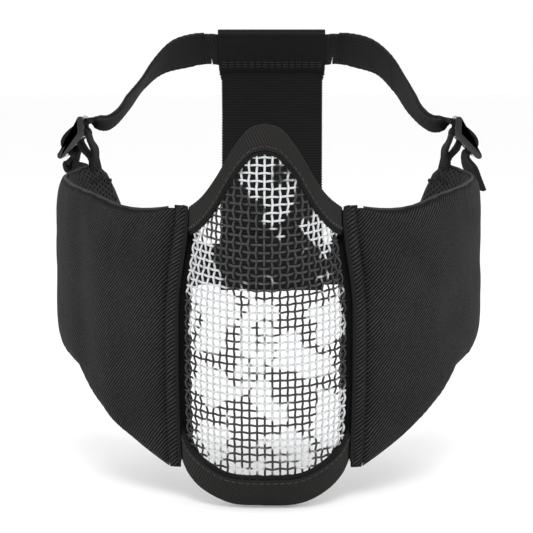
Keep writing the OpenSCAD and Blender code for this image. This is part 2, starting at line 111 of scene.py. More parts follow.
def curve(points, x):
    """Value at x of a smooth curve through points (x, value)"""
    i = 0
    while i < len(points) - 2 and x > points[i + 1][0]:
        i += 1
    def slope(k):
        a, b = max(k - 1, 0), min(k + 1, len(points) - 1)
        return (points[b][1] - points[a][1]) / (points[b][0] - points[a][0])
    h = points[i + 1][0] - points[i][0]
    t = min(max((x - points[i][0]) / h, 0), 1)
    return ((2 * t**3 - 3 * t * t + 1) * points[i][1] + (t**3 - 2 * t * t + t) * slope(i) * h
            + (3 * t * t - 2 * t**3) * points[i + 1][1] + (t**3 - t * t) * slope(i + 1) * h)


W = panel_half_w
top_edge = [(0, nose_top_z), (0.17 * W, nose_top_z - 2), (0.35 * W, nose_top_z - 9),
            (0.5 * W, nose_top_z - 16.5), (0.62 * W, (nose_top_z + shoulder_z) / 2 - 5),
            (0.82 * W, shoulder_z + 5), (W, shoulder_z)]
bottom_edge = [(0, -chin_drop), (0.42 * W, 1 - chin_drop), (0.75 * W, 6 - chin_drop),
               (0.92 * W, 11 - chin_drop), (W, 16.5 - chin_drop)]
side_base = [(-chin_drop, 0), (shoulder_z, 0), (nose_top_z, -12)]
dish = [(-chin_drop - 4, 0.42 * dish_depth), (16 - chin_drop, 0.76 * dish_depth), (-40, dish_depth),
        (0, dish_depth), (shoulder_z, 0.9 * dish_depth), (nose_top_z, 0.25 * dish_depth)]
ridge = [(-24, 0), (-10, 0.35 * nose_depth), (7, nose_depth), (22, 0.92 * nose_depth),
         (nose_top_z - 16, 0.5 * nose_depth), (nose_top_z + 4, 0.1 * nose_depth)]


def panel_top(x):
    return curve(top_edge, abs(x))


def panel_bottom(x):
    return curve(bottom_edge, abs(x))


def panel_point(x, z):
    t = min(abs(x) / W, 1)
    y = (-seam_front + curve(side_base, z) - curve(dish, z) * (1 - t**2.5) ** 0.55
         - curve(ridge, z) * math.exp(-((x / ridge_half_w) ** 2)))
    return V((x, y, z))


def panel_out(x, z, e=0.4):
    across = panel_point(min(x + e, W), z) - panel_point(max(x - e, -W), z)
    return across.cross(panel_point(x, z + e) - panel_point(x, z - e)).normalized()


def eased(x, low, high):
    t = min(max((x - low) / (high - low), 0), 1)
    return t * t * (3 - 2 * t)


def leaned(p):
    """The seams lean in towards their tops, and pull the cloth on both sides of them along"""
    near = eased(abs(p.x), 12, W) * (1 - eased(abs(p.x), W + 1, W + 30))
    shift = near * (4.2 * eased(p.z, -14, 26) + 1.2 * (1 - eased(p.z, -84, -40)))
    return V((p.x - math.copysign(shift, p.x), p.y, p.z))


def on_panel(x, z, lift):
    return leaned(panel_point(x, z) + lift * panel_out(x, z))


wing_x0, wing_y0 = W + 1, -seam_front + 0.5
start = math.radians(wing_start_deg)
cheek_r = (wing_half_w - pad_t / 2 - wing_x0) / (1 - math.sin(start))
cheek_len = cheek_r * (math.pi / 2 - start)
cup_len = cup_r * math.radians(cup_turn)
wing_len = cheek_len + cup_len
cheek_centre = V((wing_x0 - cheek_r * math.sin(start), wing_y0 + cheek_r * math.cos(start)))
cup_centre = V((cheek_centre.x + cheek_r - cup_r, cheek_centre.y))


def wing_dir(s):
    return start + s / cheek_r if s < cheek_len else math.pi / 2 + (s - cheek_len) / cup_r


def wing_point(s, z, d):
    """The point a length s along the left wing from its seam, at height z, a distance d outwards"""
    a = wing_dir(s)
    centre, r = (cheek_centre, cheek_r) if s < cheek_len else (cup_centre, cup_r)
    return V((centre.x + (r + d) * math.sin(a), centre.y - (r + d) * math.cos(a), z))


def wing_place(p):
    """The length s, height and distance outwards of a point beside the left wing"""
    if p.y < cheek_centre.y:
        arm = V((p.x - cheek_centre.x, p.y - cheek_centre.y))
        return (math.atan2(arm.x, -arm.y) - start) * cheek_r, p.z, arm.length - cheek_r
    arm = V((p.x - cup_centre.x, p.y - cup_centre.y))
    return cheek_len + (math.atan2(arm.x, -arm.y) - math.pi / 2) * cup_r, p.z, arm.length - cup_r


C, U = cheek_len, cup_len
deep = jaw_drop - ear_drop
wing_top = [(0, wing_top_z + 2), (0.1 * C, wing_top_z + 0.5), (0.2 * C, wing_top_z),
            (0.3 * C, wing_top_z + 1), (0.4 * C, wing_top_z + 3.5), (0.5 * C, wing_top_z + 5.5),
            (0.62 * C, wing_top_z + 7), (0.8 * C, wing_top_z + 9), (C + 0.3 * U, tab_top_z - 2),
            (C + 0.66 * U, tab_top_z), (C + 0.84 * U, tab_top_z - 5), (wing_len, wing_top_z - 6)]
wing_bottom = [(0, -jaw_drop), (0.26 * C, -ear_drop - 0.68 * deep), (0.46 * C, -ear_drop - 0.4 * deep),
               (0.52 * C, -ear_drop - 0.3 * deep), (0.57 * C, -ear_drop - 0.19 * deep),
               (0.78 * C, -ear_drop - 0.09 * deep), (C, -ear_drop), (C + 0.5 * U, 3 - ear_drop),
               (C + 0.8 * U, 9 - ear_drop), (wing_len, 19 - ear_drop)]
off_by = abs(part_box("mesh_panel")[1][2] - nose_top_z * mm)
print("panel top agrees within", round(off_by, 4), "m; wing length", round(wing_len, 1))

# %% [markdown]
# ## Modelling helpers
# Cloth, tape and webbing are all strips. A strip could be extruded section by section, but a
# grid primitive laid onto a formula is quicker to shape and comes with a UV map, which then
# measures the cloth itself. Solidify gives it a thickness and Bevel rounds its cut edges.

# %% Modelling helpers
def only(piece):
    bpy.ops.object.select_all(action="DESELECT")
    piece.select_set(True)
    bpy.context.view_layer.objects.active = piece


def modify(piece, kind, **settings):
    """Adds one modifier and applies it"""
    only(piece)
    modifier = piece.modifiers.new(kind.lower(), kind)
    for key, value in settings.items():
        setattr(modifier, key, value)
    bpy.ops.object.modifier_apply(modifier=modifier.name)


def smooth(piece, degrees=40):
    only(piece)
    bpy.ops.object.shade_smooth_by_angle(angle=math.radians(degrees))


def finish_piece(piece, material):
    piece.data.materials.clear()
    piece.data.materials.append(material)
    return piece


def hang(piece, body, node=None):
    """Makes a piece move with a body, and stand for a plain node where it has one"""
    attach(piece, body)
    if node:
        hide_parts(node)


def joined(parts, name):
    bpy.ops.object.select_all(action="DESELECT")
    for part in parts:
        part.select_set(True)
    bpy.context.view_layer.objects.active = parts[0]
    bpy.ops.object.join()
    piece = bpy.context.active_object
    piece.name = piece.data.name = name
    return piece


def face_outwards(piece):
    only(piece)
    bpy.ops.object.mode_set(mode="EDIT")
    bpy.ops.mesh.select_all(action="SELECT")
    bpy.ops.mesh.normals_make_consistent(inside=False)
    bpy.ops.object.mode_set(mode="OBJECT")


def sheet_on(name, place, across, along, size):
    """A grid laid on a surface: place(u, v) gives a point in millimetres for u and v from 0 to 1"""
    bpy.ops.object.select_all(action="DESELECT")
    bpy.ops.mesh.primitive_grid_add(x_subdivisions=across, y_subdivisions=along, size=1, calc_uvs=True)
    piece = bpy.context.active_object
    piece.name = piece.data.name = name
    for loop in piece.data.uv_layers.active.data:
        loop.uv = (loop.uv[0] * size[0] * mm, loop.uv[1] * size[1] * mm)
    for vertex in piece.data.vertices:
        vertex.co = place(vertex.co.x + 0.5, vertex.co.y + 0.5) * mm
    return piece


def rounded(piece, width, segments):
    modify(piece, "BEVEL", width=width * mm, segments=segments, limit_method="ANGLE",
           angle_limit=math.radians(50))


def thicken(piece, thickness, round_edge, segments=2):
    modify(piece, "SOLIDIFY", thickness=thickness * mm, offset=0)
    rounded(piece, round_edge, segments)
    smooth(piece)


def tubes(name, paths, radius, sides=1):
    """Round threads or wires, each swept along its own list of points in millimetres"""
    data = bpy.data.curves.new(name, "CURVE")
    data.dimensions = "3D"
    data.bevel_depth = radius * mm
    data.bevel_resolution = sides
    data.use_fill_caps = True
    for points in paths:
        spline = data.splines.new("POLY")
        spline.points.add(len(points) - 1)
        for k, p in enumerate(points):
            spline.points[k].co = (*(p * mm), 1)
    piece = bpy.data.objects.new(name, data)
    bpy.context.scene.collection.objects.link(piece)
    only(piece)
    bpy.ops.object.convert(target="MESH")
    piece = bpy.context.active_object
    smooth(piece, 60)
    return piece


def twin_of(piece):
    twin = piece.copy()
    twin.data = piece.data.copy()
    bpy.context.scene.collection.objects.link(twin)
    return twin


def mirror(piece):
    """Moves a piece to the other side of the face, and turns its faces back outwards"""
    piece.data.transform(Matrix.Scale(-1, 4, (1, 0, 0)))
    piece.data.flip_normals()


def both_sides(left):
    """A left piece and its mirror image, each with its side's name"""
    right = twin_of(left)
    right.name = right.data.name = left.name.replace("left", "right")
    mirror(right)
    return ("left", left), ("right", right)


def flip(p):
    return V((-p.x, p.y, p.z))


def along(list_of_points):
    """Running length at each point of a path"""
    lengths = [0]
    for a, b in zip(list_of_points, list_of_points[1:]):
        lengths.append(lengths[-1] + (b - a).length)
    return lengths


def pick(values, lengths, t):
    """Value at the share t of a path's whole length"""
    wanted = t * lengths[-1]
    for k in range(len(lengths) - 1):
        if wanted <= lengths[k + 1] or k == len(lengths) - 2:
            share = (wanted - lengths[k]) / max(lengths[k + 1] - lengths[k], 1e-9)
            return values[k].lerp(values[k + 1], min(max(share, 0), 1))


def spline(a, b, c, d, t):
    return 0.5 * (2 * b + (c - a) * t + (2 * a - 5 * b + 4 * c - d) * t * t + (3 * b - a - 3 * c + d) * t**3)


def smoothed(stations, n):
    """More stations between these, on one smooth curve; a station is a point and a width direction"""
    out = []
    for knots in zip([stations[0], *stations], stations, stations[1:], [*stations[2:], stations[-1]]):
        for k in range(n):
            out.append([spline(*(knot[q] for knot in knots), k / n) for q in (0, 1)])
    return out + [list(stations[-1])]


print("helpers ready")

# %% [markdown]
# ## Finishes
# A finish is a tree of nodes, but most of its maths reads better as a formula. The Value
# class wraps a socket, so that adding or multiplying two values adds the Math node that does
# it. Paint is one material: its node method adds any other node, settings first, then inputs.

# %% Shader helpers
TURN = 2 * math.pi


class Value:
    def __init__(self, paint, socket):
        self.paint, self.socket = paint, socket

    def math(self, operation, *others):
        return self.paint.node("ShaderNodeMath", {"operation": operation}, dict(enumerate([self, *others])))

    def __add__(self, other):
        return self.math("ADD", other)

    def __sub__(self, other):
        return self.math("SUBTRACT", other)

    def __mul__(self, other):
        return self.math("MULTIPLY", other)

    def __truediv__(self, other):
        return self.math("DIVIDE", other)

    def __rsub__(self, other):
        return self.paint.node("ShaderNodeMath", {"operation": "SUBTRACT"}, {0: other, 1: self})

    __radd__, __rmul__ = __add__, __mul__

    def cos(self):
        return self.math("COSINE")

    def waves(self, pitch):
        """Goes from 0 to 1 and back once in each pitch, in millimetres"""
        return (self * (TURN / (pitch * mm))).math("SINE") * 0.5 + 0.5

    def ramp(self, low, high):
        """0 below low, 1 above high, and a smooth step between"""
        return self.paint.node("ShaderNodeMapRange", {"interpolation_type": "SMOOTHSTEP"},
                               {"Value": self, "From Min": low, "From Max": high})

    def part(self, name):
        return Value(self.paint, self.socket.node.outputs[name])


class Paint:
    def __init__(self, name, **fixed):
        self.material = bpy.data.materials.new(name)
        self.material.use_nodes = True
        self.tree = self.material.node_tree
        self.shader = self.tree.nodes["Principled BSDF"]
        for key, value in fixed.items():
            self.shader.inputs[key.replace("_", " ")].default_value = value

    def node(self, kind, settings=None, inputs=None, output=0):
        made = self.tree.nodes.new(kind)
        for key, value in (settings or {}).items():
            setattr(made, key, value)
        for key, value in (inputs or {}).items():
            if isinstance(value, Value):
                self.tree.links.new(value.socket, made.inputs[key])
            else:
                made.inputs[key].default_value = value
        return Value(self, made.outputs[output])

    def place(self, source="Object"):
        """The x, y and z of a point of the piece, or of its cloth map"""
        point = self.node("ShaderNodeTexCoord", output=source)
        parts = self.node("ShaderNodeSeparateXYZ", inputs={0: point})
        return parts, parts.part("Y"), parts.part("Z"), point

    def noise(self, point, scale, detail=3):
        return self.node("ShaderNodeTexNoise", {"noise_dimensions": "3D"},
                         {"Vector": point, "Scale": scale, "Detail": detail, "Roughness": 0.55})

    def mix(self, share, dark, light):
        inputs = {0: share, 6: (*dark, 1), 7: (*light, 1)}
        return self.node("ShaderNodeMix", {"data_type": "RGBA"}, inputs, output=2)

    def finished(self, colour, roughness, height, depth, strength=1.0):
        """Feeds the shader what varies over the surface, and gives the material"""
        bump = self.node("ShaderNodeBump", inputs={"Height": height, "Distance": depth, "Strength": strength})
        for key, value in (("Base Color", colour), ("Roughness", roughness), ("Normal", bump)):
            self.tree.links.new(value.socket, self.shader.inputs[key])
        return self.material


print("shader helpers ready")

# %% [markdown]
# ### Twill cover cloth
# The wings wear a tough black twill. Twill could be a picture of cloth, but a formula stays
# sharp at any distance: diagonal ribs from one sine of u + v, broken into yarns by a finer
# sine across them. The ribs raise the surface and catch a little more light than the valleys.

# %% Cover cloth
def twill(name, turn=1):
    """Twill whose ribs lean one way or, with turn -1, the other; shade is painted into it, darker where it
    faces the sky
    """
    rib_pitch, yarn_pitch = 1.3, 0.8
    paint = Paint(name, Specular_IOR_Level=0.2)
    u, v, _, point = paint.place("UV")
    wobble = paint.noise(point, 55, 3) * 0.0022
    rib = (u * turn + v * 0.8 + wobble).waves(rib_pitch)
    yarn = (u * 0.8 - v * turn + wobble).waves(yarn_pitch)
    weave = rib * (0.55 + yarn * 0.45)
    cloud = paint.noise(point, 30, 4)
    fleck = paint.noise(point, 700, 2)
    # Painted shade: the cloth's colour is darkened where its surface faces up, so the tops of the wings read
    # darker
    facing = paint.node("ShaderNodeNewGeometry", output=1)
    painted_top_shade = paint.node("ShaderNodeSeparateXYZ", inputs={0: facing}).part("Z").ramp(0.35, 0.9)
    tone = (weave * 0.8 + (cloud - 0.5) * 0.35 + (fleck - 0.5) * 0.6) * (1 - painted_top_shade * 0.85)
    colour = paint.mix(tone.ramp(0.12, 0.95), (0.001, 0.001, 0.0012), (0.046, 0.046, 0.049))
    return paint.finished(colour, 0.95 - weave * 0.2, weave, 0.0003)


cover_left, cover_right = twill("cover_cloth", -1), twill("cover_cloth_other_way")

# %% [markdown]
# ### Binding tape, webbing and elastic
# These are narrow wovens. Tape and webbing show fine ribs that run across or along the strip,
# and the wide band has ribs both ways. All three are the same recipe with other pitches, so
# one function makes them: ribs along u, ribs along v, and a soft unevenness of tone.

# %% Narrow wovens
def ribbed(name, across, lengthwise, tilt=0.0, light=(0.015, 0.0148, 0.0145), dark=(0.004, 0.004, 0.004),
           depth=0.00016):
    paint = Paint(name, Specular_IOR_Level=0.2)
    u, v, _, point = paint.place("UV")
    wobble = paint.noise(point, 160, 2) * 0.0004
    ribs = (v + u * tilt + wobble).waves(across)
    rails = (u + wobble).waves(lengthwise)
    weave = ribs * 0.65 + ribs * rails * 0.2 + rails * 0.15
    cloud = paint.noise(point, 45, 3)
    colour = paint.mix((weave * 0.8 + cloud * 0.3).ramp(0.1, 1.0), dark, light)
    return paint.finished(colour, 0.9 - weave * 0.15, weave, depth, 0.8)


binding = ribbed("binding_tape", 1.05, 0.5, tilt=0.5, light=(0.018, 0.0165, 0.0155))
webbing = ribbed("webbing", 0.9, 2.1)
elastic = ribbed("band_elastic", 1.3, 1.05, light=(0.007, 0.0068, 0.0068), dark=(0.002, 0.002, 0.002),
                 depth=0.0002)
rim_tape = ribbed("dark_tape", 0.6, 0.5, light=(0.009, 0.0085, 0.008), dark=(0.003, 0.003, 0.003))


# %% [markdown]
# ### Spacer mesh
# The lining is a knit with open cells. Three sine waves that cross at sixty degrees peak on a
# honeycomb, which makes the round dark holes, and what is left between them is the knit.

# %% Spacer mesh
def honeycomb(name, pitch=2.4):
    paint = Paint(name, Specular_IOR_Level=0.2)
    u, v, _, point = paint.place("UV")
    wobble = paint.noise(point, 120, 1) * 0.0008
    wave = [((u * math.cos(a) + v * math.sin(a) + wobble) * (TURN / (pitch * 0.866 * mm))).cos()
            for a in (0, math.pi / 3, 2 * math.pi / 3)]
    cell = (wave[0] + wave[1] + wave[2]) / 3
    knit = 1 - cell.ramp(0.05, 0.5)
    fuzz = paint.noise(point, 900, 2)
    colour = paint.mix(knit * (0.6 + fuzz * 0.6), (0.001, 0.001, 0.001), (0.024, 0.024, 0.025))
    return paint.finished(colour, 0.95 - knit * 0.1, knit + fuzz * 0.15, 0.0006, 0.9)


spacer = honeycomb("spacer_mesh")


# %% [markdown]
# ### Painted wire
# The wires are satin black, with a second, off-white coat sprayed over them in soft-edged
# patches. Each patch is a blob: one minus the squared distance from its middle, measured in
# its own size. The largest blob at a point wins, and noise frays its edge as overspray does.

# %% Painted wire
# Middle x and z, half width and half height of each pale patch, in millimetres
pale_patches = [(-1, 44, 12, 9), (5, 30, 6, 9), (26, 19, 8, 9), (-27, 10, 6, 13), (-20, -12, 9, 19),
                (-3, -20, 6, 20), (25, -14, 8, 12), (12, -32, 12, 7), (-16, -40, 12, 6), (2, -47, 6, 7),
                (-22, -62, 7, 9), (9, -64, 9, 8), (25, -54, 6, 12), (-6, -74, 7, 5)]


def painted_wire():
    paint = Paint("painted_wire", Specular_IOR_Level=0.5)
    x, y, z, point = paint.place()
    fray = paint.noise(point, 190, 3) - 0.5
    drift_x, drift_z = paint.noise(point, 75, 2) - 0.5, paint.noise(point, 58, 2) - 0.5
    best = None
    for px, pz, half_w, half_h in pale_patches:
        a = (x - px * mm + drift_x * 0.034) / (half_w * mm)
        b = (z - pz * mm + drift_z * 0.034) / (half_h * mm)
        blob = 1 - (a * a + b * b)
        best = blob if best is None else best.math("MAXIMUM", blob)
    coat = (best + fray * 0.8).ramp(-0.05, 0.35)
    grain = paint.noise(point, 1500, 2)
    colour = paint.mix(coat, (0.01, 0.01, 0.0105), (0.5, 0.51, 0.52))
    return paint.finished(colour, 0.36 + grain * 0.15 + coat * 0.15, grain, 0.00005, 0.5)


wire_paint = painted_wire()


# %% [markdown]
# ### Plastic, thread and foam
# Moulded plastic is even in colour and shows itself by its gloss, so only its roughness has
# scuffs. Thread is two plies twisted together, which is one sine along the diagonal, and foam
# is a fine noise. The foam node of the frame keeps its shape, so it only needs the finish.

# %% Moulded plastic, thread and foam
def moulded():
    paint = Paint("buckle_plastic", Specular_IOR_Level=0.45)
    point = paint.place()[3]
    grain = paint.noise(point, 700, 3)
    scuff = paint.noise(point, 130, 4)
    colour = paint.mix(scuff.ramp(0.4, 0.8), (0.004, 0.004, 0.0043), (0.009, 0.009, 0.0095))
    return paint.finished(colour, 0.1 + scuff * 0.12, grain, 0.00002, 0.3)


def thread_finish():
    paint = Paint("thread", Specular_IOR_Level=0.4, Sheen_Weight=0.2)
    x, y, z, _ = paint.place()
    ply = (x + y + z).waves(0.35)
    colour = paint.mix(ply, (0.006, 0.006, 0.006), (0.022, 0.021, 0.02))
    return paint.finished(colour, 0.8 - ply * 0.2, ply, 0.00008, 0.6)


def foam_finish():
    paint = Paint("foam")
    cells = paint.noise(paint.place()[3], 1200, 3)
    colour = paint.mix(cells, (0.006, 0.006, 0.0065), (0.03, 0.03, 0.032))
    return paint.finished(colour, 0.8 + cells * 0.2, cells, 0.0002, 0.7)


plastic, thread, foam = moulded(), thread_finish(), foam_finish()
for side in ("left", "right"):
    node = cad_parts[f"{side}_wing_foam"]
    node.data.materials.clear()
    node.data.materials.append(foam)
print("finishes:", [m.name for m in bpy.data.materials][-12:])

# %% [markdown]
# ## Woven wire panel
# The panel is plain-woven wire pressed into a dish: each wire passes over one crossing wire
# and under the next. A picture of a grid would look flat from the side, so every wire is a
# real tube. A wire's height above the dish is one cosine of its place in the weave, and the
# crossing wires use the opposite sign, which is all that weaving is.

# %% Wire panel
wire_r = 0.44
wire_pitch_x, wire_pitch_z = 3.25, 3.0
weave_lift = 0.42
edge_margin = 0.5


def arc_columns():
    """Where the upright wires stand: evenly along the curved panel, closer together as seen from the front"""
    level, step = -25, 0.1
    xs, walked, x, last = [0.0], 0.0, 0.0, panel_point(0, level)
    while x < W - 0.6:
        x += step
        p = panel_point(x, level)
        walked += (p - last).length * 0.55 + 0.45 * step
        last = p
        if walked >= wire_pitch_x * 0.9:
            xs.append(x)
            walked = 0.0
    return [-x for x in reversed(xs[1:])] + xs


columns = arc_columns()
rows = [-chin_drop + 1.5 + wire_pitch_z * k for k in range(int((nose_top_z + chin_drop) / wire_pitch_z) + 2)]
side_rise = 3.0             # the level wires rise towards the panel's sides


def wire_at(x, z, lift):
    z = z + side_rise * (x / W) ** 2
    inside = panel_bottom(x) + edge_margin < z < panel_top(x) - edge_margin
    return on_panel(x, z, lift) if inside else None


def runs(points):
    """The unbroken runs of a list in which gaps are None"""
    out, run = [], []
    for p in points + [None]:
        if p is not None:
            run.append(p)
        elif run:
            if len(run) > 2:
                out.append(run)
            run = []
    return out


wires = []
steps = 4
for i, x in enumerate(columns):
    wires += runs([wire_at(x, rows[0] + wire_pitch_z * k / steps,
                           weave_lift * math.cos(math.pi * (k / steps + i)))
                   for k in range(steps * len(rows))])
for k, z in enumerate(rows):
    samples = []
    for i in range(steps * (len(columns) - 1) + 1):
        a, share = divmod(i / steps, 1)
        a = int(a)
        x = columns[a] + share * (columns[min(a + 1, len(columns) - 1)] - columns[a])
        samples.append(wire_at(x, z, -weave_lift * math.cos(math.pi * (i / steps + k))))
    wires += runs(samples)
panel = tubes("wire_panel", wires, wire_r, 1)
finish_piece(panel, wire_paint)
hang(panel, "front", "mesh_panel")
print(len(columns), "upright and", len(rows), "level wires;", len(panel.data.polygons), "faces")

# %% [markdown]
# ## Binding tape on the panel's edges
# Cut wire ends are sharp, so tape is folded over them and sewn. The fold could be two flat
# strips, but a real one is a single strip bent in a U. The grid's short side runs round the
# U, from the outer lap over the fold to the inner lap, and its long side follows the edge.

# %% Edge tapes
tape_lift = 1.5


def edge_path(edge, way, cover):
    """Samples along an edge seen from the front, each with the tape's width, measured straight up or down"""
    xs = [W * 0.995 * k / 50 for k in range(-50, 51)]
    return [V((x, edge(x), cover)) for x in xs], way, along([V((x, edge(x), 0)) for x in xs])


def on_edge(path, v, deep, lift):
    """A point beside the edge: deep is how far in, as a share of the tape's width plus millimetres"""
    samples, way, lengths = path
    p = pick(samples, lengths, v)
    return on_panel(p.x, p.y + way * (deep[0] * p.z + deep[1]), lift)


def folded_tape(name, path, width):
    """A U of tape round an edge of the panel: outer lap, fold, inner lap"""
    turn = 0.16

    def place(u, v):
        soft = 0.14 * math.sin(9 * v + 3 * u) + 0.1 * math.sin(31 * v + 5 * u)
        flat = 0.5 - turn / 2
        if u < flat:
            return on_edge(path, v, (1 - u / flat, -0.9 * u / flat), tape_lift + soft)
        if u > 1 - flat:
            return on_edge(path, v, (1 - (1 - u) / flat, -0.9 * (1 - u) / flat), -tape_lift + soft)
        a = (u - 0.5) / turn * math.pi
        return on_edge(path, v, (0, -0.9 - 0.8 * math.cos(a)), -tape_lift * math.sin(a) + soft)

    piece = sheet_on(name, place, 30, 150, (2 * width + 4, path[2][-1]))
    thicken(piece, 0.8, 0.3)
    return finish_piece(piece, binding)


def beside_tape(path, share, shift, lift, count=130):
    return [on_edge(path, k / count, (share, shift), lift) for k in range(count + 1)]


nose_path, chin_path = edge_path(panel_top, -1, 8.6), edge_path(panel_bottom, 1, 9.6)
for name, path, width, roll_shift, roll_r in (("nose", nose_path, 8.6, 0.7, 0.75),
                                              ("chin", chin_path, 9.6, 0.8, 0.85)):
    hang(folded_tape(f"{name}_binding", path, width), "front", f"{name}_tape")
    roll = tubes(f"{name}_roll", [beside_tape(path, 1, roll_shift, 0.9)], roll_r, 3)
    hang(finish_piece(roll, rim_tape), "front")
    print(name, "tape", round(path[2][-1]), "mm long, its roll", len(roll.data.polygons), "faces")


# %% [markdown]
# ## Stitches
# A row of stitches is a short arched thread, repeated. Copying one piece hundreds of times
# would fill the scene with objects, so all stitches of one seam are swept in one go.

# %% Stitches
def stitch_row(name, points, normals, length, gap, radius=0.2, rise=0.25):
    """Stitches along a path, each one a low arch that dips into the cloth at both ends"""
    lengths = along(points)
    count = int(lengths[-1] / (length + gap))
    threads = []
    for k in range(count):
        start_at = (k + 0.5) * lengths[-1] / count - length / 2
        arch = []
        for q in range(5):
            t = (start_at + length * q / 4) / lengths[-1]
            height = rise * math.sin(math.pi * q / 4) - 0.05
            arch.append(pick(points, lengths, t) + pick(normals, lengths, t) * height)
        threads.append(arch)
    piece = tubes(name, threads, radius, 1)
    return finish_piece(piece, thread)


for name, path in (("nose", nose_path), ("chin", chin_path)):
    points, above = [beside_tape(path, 1, -1.3, tape_lift + lift) for lift in (0.4, 1.4)]
    normals = [(b - a).normalized() for a, b in zip(points, above)]
    seam = stitch_row(f"{name}_stitches", points, normals, 1.9, 0.8)
    hang(seam, "front")
    print(seam.name, len(seam.data.polygons), "faces")

# %% [markdown]
# ## Side binding and the soft hinge
# The panel's straight sides wear tape too, and a strip of cloth joins that tape to the wing:
# it is the hinge. A cloth hinge has no pin, so the real strip bends when the wing folds; here
# it is laid in one place and follows no body.

# %% Side binding and fold strips
def plan_strip(name, plan, low, high, thickness, size_w, waver=0.0):
    """An upright strip that follows a line seen from above, between two heights"""
    lengths = along(plan)

    def place(u, v):
        p = pick(plan, lengths, u)
        z = low + (high - low) * v
        return leaned(V((p.x + waver * math.sin(z / 5), p.y + waver * math.cos(z / 7), z)))

    piece = sheet_on(name, place, 24, 60, (size_w, high - low))
    thicken(piece, thickness, 0.25)
    return finish_piece(piece, rim_tape)


side_low, side_high = 14 - chin_drop, shoulder_z + 0.2
u_plan = [V((W - 2.6, -seam_front - 6, 0))]
for k in range(9):
    a = math.pi * k / 8
    u_plan.append(V((W - 0.1 - 2.4 * math.cos(a), -seam_front - 0.5 + 2.2 * math.sin(a), 0)))
u_plan.append(V((W + 2.1, -seam_front - 4.5, 0)))
fold_plan = [V((W + x, -seam_front + y, 0)) for x, y in ((2.6, -4), (2.9, -1.5), (3.2, 0.8), (4.4, 2.2))]
fold_plan += [wing_point(6.2, 0, -1.2), wing_point(8, 0, -2.4)]
for side, piece in both_sides(plan_strip("left_side_binding", u_plan, side_low, side_high, 0.8, 13)):
    hang(piece, "front", f"{side}_side_tape")
fold_strip = plan_strip("left_fold_strip", fold_plan, -jaw_drop + 5, wing_top_z + 1.4, 0.7, 12, waver=0.1)
for side, piece in both_sides(fold_strip):
    way = 1 if side == "left" else -1
    way * (W + 2.2) * mm
    way * (W + 5.2) * mm
    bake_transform(piece)
    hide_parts(f"{side}_fold_tape")
print("side bindings and fold strips made")

# %% [markdown]
# ## Padded wings
# A wing is foam between a twill cover and a spacer-mesh lining, sewn round the edge. It could
# be one smooth block, but real padding swells between its seams and puckers beside them. So
# the three plain layers are fused by a voxel remesh, blown up a little by the cloth solver
# with air pressure and no gravity, and capped so that no point moves further than real
# stuffing would push it. The result is cut into its outer cover and its inner lining.

# %% Fuse the wing's layers
def fused(names, label, voxel):
    copies = [twin_of(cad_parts[name]) for name in names]
    for copy in copies:
        copy.parent = None
        copy.hide_render = copy.hide_viewport = False
    piece = joined(copies, label)
    for key in list(piece.keys()):
        del piece[key]
    piece.data.remesh_voxel_size = voxel * mm
    bpy.ops.object.voxel_remesh()
    return piece


wing = fused(["left_wing_cover", "left_wing_foam", "left_wing_lining"], "wing_block", 2.0)
modify(wing, "SMOOTH", factor=0.6, iterations=6)
print("wing block", len(wing.data.vertices), "points")

# %% Swell the padding
def swell(piece, pressure, frames, cap):
    """Blows a closed skin up with the cloth solver; no point moves further than the cap"""
    before = [v.co.copy() for v in piece.data.vertices]
    only(piece)
    cloth = piece.modifiers.new("cloth", "CLOTH")
    for key, value in {"quality": 4, "mass": 0.2, "tension_stiffness": 12, "compression_stiffness": 12,
                       "bending_stiffness": 2, "use_pressure": True,
                       "uniform_pressure_force": pressure}.items():
        setattr(cloth.settings, key, value)
    cloth.settings.effector_weights.gravity = 0
    cloth.collision_settings.use_collision = False
    cloth.point_cache.frame_start, cloth.point_cache.frame_end = 1, frames
    for f in range(1, frames + 1):
        bpy.context.scene.frame_set(f)
    bpy.ops.object.modifier_apply(modifier="cloth")
    bpy.context.scene.frame_set(1)
    for v, old in zip(piece.data.vertices, before):
        move = v.co - old
        if move.length > cap * mm:
            v.co = old + move.normalized() * cap * mm


quick_swell, swell_cap = 1.2, 2.2
swell(wing, 4, 14, swell_cap)
print("wing block swollen")

# %% [markdown]
# ## Creases, cover and lining
# Cloth on a curved wing doesn't lie smooth: it dents in a few soft lines, not the same ones left
# and right. Each crease is a line in the wing's own length and height, and pushes the cover in
# by a bell curve of the distance from it. Then the skin is cut into cover and lining.

# %% Creases
# Each crease goes from (s, z) to (s, z), and has a half width and a depth; a negative depth is a soft ridge
creases = {"left": [((10, 18), (34, 1), 4.5, 1.2), ((5, 6), (38, -17), 7, -1.2),
                    ((14, -40), (60, -16), 9, 0.4), ((60, 20), (88, 2), 8, 0.4)],
           "right": [((20, 19), (21, 10), 3.5, 1.0), ((29, 18), (31, 11), 3, 0.8),
                     ((36, 8), (30, -60), 8, -1.1), ((54, 22), (50, -34), 6, 1.0),
                     ((7, -66), (30, -30), 6, 0.4)]}


def crease_depth(s, z, side):
    depth = 0
    for (s0, z0), (s1, z1), half, deep in creases[side]:
        line = V((s1 - s0, z1 - z0))
        t = max(0, min(1, V((s - s0, z - z0)).dot(line) / line.length_squared))
        gap = (V((s - s0, z - z0)) - line * t).length
        depth += deep * math.exp(-((gap / half) ** 2))
    return depth


